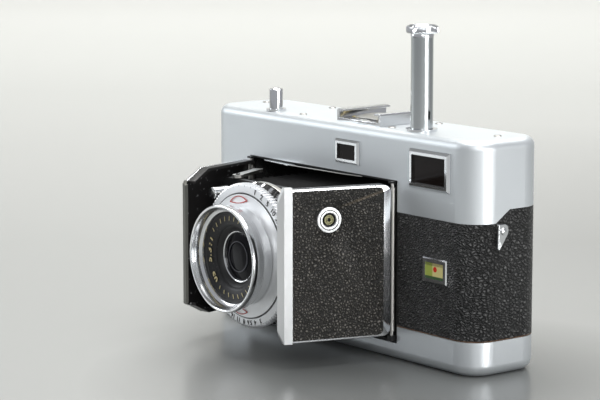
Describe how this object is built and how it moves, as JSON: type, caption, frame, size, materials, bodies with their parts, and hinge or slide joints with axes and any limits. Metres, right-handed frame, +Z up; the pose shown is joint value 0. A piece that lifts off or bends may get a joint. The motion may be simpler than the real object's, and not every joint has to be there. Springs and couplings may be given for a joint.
{
  "type": "folding film camera",
  "caption": "Folding 35 mm film camera with two leather-faced barn doors, a lens board on bellows, a tall wind-on plunger and a slide-off back.",
  "frame": {"origin": "centre of the tripod socket's mouth, in the middle of the base", "axes": "+X to the right of someone facing the lens, +Y from the lens towards the back, +Z up"},
  "size_m": [0.136, 0.0701, 0.1038],
  "materials": {
    "casting": "crackle black enamel",
    "satin_chrome": "satin",
    "body_leather": "coarse grain",
    "door_leather": "worn fine grain",
    "black_enamel": "satin enamel",
    "polished_chrome": "polished",
    "steel": "brushed",
    "glass": "coated",
    "dial_enamel": "gloss",
    "bellows_cloth": "matt",
    "black_anodised": "satin anodised",
    "blade_steel": "blued",
    "spool_plastic": "matt"
  },
  "bodies": {
    "chassis": {"main_chassis": "casting", "top_cover": "satin_chrome", "leather_front_left": "body_leather", "leather_front_right": "body_leather", "opening_bezel": "black_enamel", "hinge_pins": "steel", "viewfinder_frame": "polished_chrome", "viewfinder_glass": "glass", "rangefinder_frame": "polished_chrome", "rangefinder_glass": "glass", "reminder_frame": "polished_chrome", "reminder_dial": "dial_enamel", "eyepiece_ring": "polished_chrome", "eyepiece_glass": "glass", "accessory_shoe": "polished_chrome", "shoe_spring": "steel", "shoe_screws": "steel", "top_screws": "steel", "plunger_bush": "polished_chrome", "release_collar": "polished_chrome", "strap_lug_left": "polished_chrome", "strap_lug_right": "polished_chrome", "bellows": "bellows_cloth"},
    "lens_board": {"standard_plate": "black_enamel", "shutter_housing": "steel", "shutter_face": "polished_chrome", "lens_barrel": "black_enamel", "filter_ring": "polished_chrome", "scale_ring": "black_anodised", "front_lens": "glass", "rear_lens": "glass", "shutter_blades": "blade_steel"},
    "speed_ring": {"speed_ring": "polished_chrome"},
    "aperture_ring": {"aperture_ring": "black_anodised"},
    "cocking_lever": {"cocking_lever": "polished_chrome"},
    "door_left": {"door_left_shell": "black_enamel", "door_left_leather": "door_leather", "door_left_nose": "polished_chrome"},
    "door_right": {"door_right_shell": "black_enamel", "door_right_leather": "door_leather", "door_right_nose": "polished_chrome", "sync_socket": "polished_chrome"},
    "strut_left": {"strut_left": "steel"},
    "strut_right": {"strut_right": "steel"},
    "plunger": {"plunger_rod": "polished_chrome", "plunger_cap": "polished_chrome"},
    "release": {"release_button": "polished_chrome"},
    "focus_wheel": {"focus_wheel": "polished_chrome"},
    "back": {"back_cover": "satin_chrome", "back_leather": "body_leather", "tripod_socket": "steel", "pressure_plate": "black_enamel"},
    "lock_key": {"lock_key": "polished_chrome"},
    "rewind_knob": {"rewind_knob": "polished_chrome"},
    "take_up": {"take_up_spool": "spool_plastic"}
  },
  "joints": [
    {"name": "lens_slide", "type": "slide", "parent": "chassis", "child": "lens_board", "axis": [0, 1, 0], "range_m": [0, 0.0395], "deforming": ["bellows"]},
    {"name": "door_left_swing", "type": "hinge", "parent": "chassis", "child": "door_left", "pos_m": [-0.04256, -0.01507, 0.031], "axis": [0, 0, 1], "range_deg": [-0.2, 53.7]},
    {"name": "door_right_swing", "type": "hinge", "parent": "chassis", "child": "door_right", "pos_m": [0.02956, -0.01507, 0.031], "axis": [0, 0, -1], "range_deg": [-0.2, 53.7]},
    {"name": "strut_left_swing", "type": "hinge", "parent": "lens_board", "child": "strut_left", "pos_m": [-0.0265, -0.0325, 0.0528], "axis": [0, 0, 1], "range_deg": [-0.2, 105.4]},
    {"name": "strut_right_swing", "type": "hinge", "parent": "lens_board", "child": "strut_right", "pos_m": [0.0135, -0.0325, 0.0528], "axis": [0, 0, -1], "range_deg": [-0.2, 105.4]},
    {"name": "speed_ring_turn", "type": "hinge", "parent": "lens_board", "child": "speed_ring", "pos_m": [-0.0065, -0.043, 0.031], "axis": [0, 1, 0], "range_deg": [-60, 60]},
    {"name": "aperture_ring_turn", "type": "hinge", "parent": "lens_board", "child": "aperture_ring", "pos_m": [-0.0065, -0.04, 0.031], "axis": [0, 1, 0], "range_deg": [-40, 40]},
    {"name": "cocking_lever_turn", "type": "hinge", "parent": "lens_board", "child": "cocking_lever", "pos_m": [-0.0065, -0.037, 0.031], "axis": [0, -1, 0], "range_deg": [0, 12]},
    {"name": "plunger_slide", "type": "slide", "parent": "chassis", "child": "plunger", "axis": [0, 0, -1], "range_m": [0, 0.028], "stiffness_N_per_m": 30, "springref_m": -0.01},
    {"name": "release_press", "type": "slide", "parent": "chassis", "child": "release", "axis": [0, 0, -1], "range_m": [0, 0.0025], "stiffness_N_per_m": 400, "springref_m": -0.001},
    {"name": "focus_wheel_turn", "type": "hinge", "parent": "chassis", "child": "focus_wheel", "pos_m": [-0.008, 0.0054, 0.062], "axis": [0, 0, 1], "range_deg": [-150, 150]},
    {"name": "back_release", "type": "slide", "parent": "chassis", "child": "back", "axis": [0, 0, -1], "range_m": [0, 0.055]},
    {"name": "lock_key_turn", "type": "hinge", "parent": "back", "child": "lock_key", "pos_m": [-0.048, 0, 0.001], "axis": [0, 0, 1], "range_deg": [0, 180]},
    {"name": "rewind_knob_spin", "type": "hinge", "parent": "back", "child": "rewind_knob", "pos_m": [0.0483, 0, 0.001], "axis": [0, 0, 1], "continuous": true},
    {"name": "take_up_spin", "type": "hinge", "parent": "chassis", "child": "take_up", "pos_m": [-0.0543, 0.0005, 0.0295], "axis": [0, 0, 1], "continuous": true}
  ],
  "couplings": [
    {"joint": "door_left_swing", "follows": "lens_slide", "rad_per_m": 23.639},
    {"joint": "door_right_swing", "follows": "lens_slide", "rad_per_m": 23.639},
    {"joint": "strut_left_swing", "follows": "lens_slide", "rad_per_m": 46.395},
    {"joint": "strut_right_swing", "follows": "lens_slide", "rad_per_m": 46.395}
  ]
}
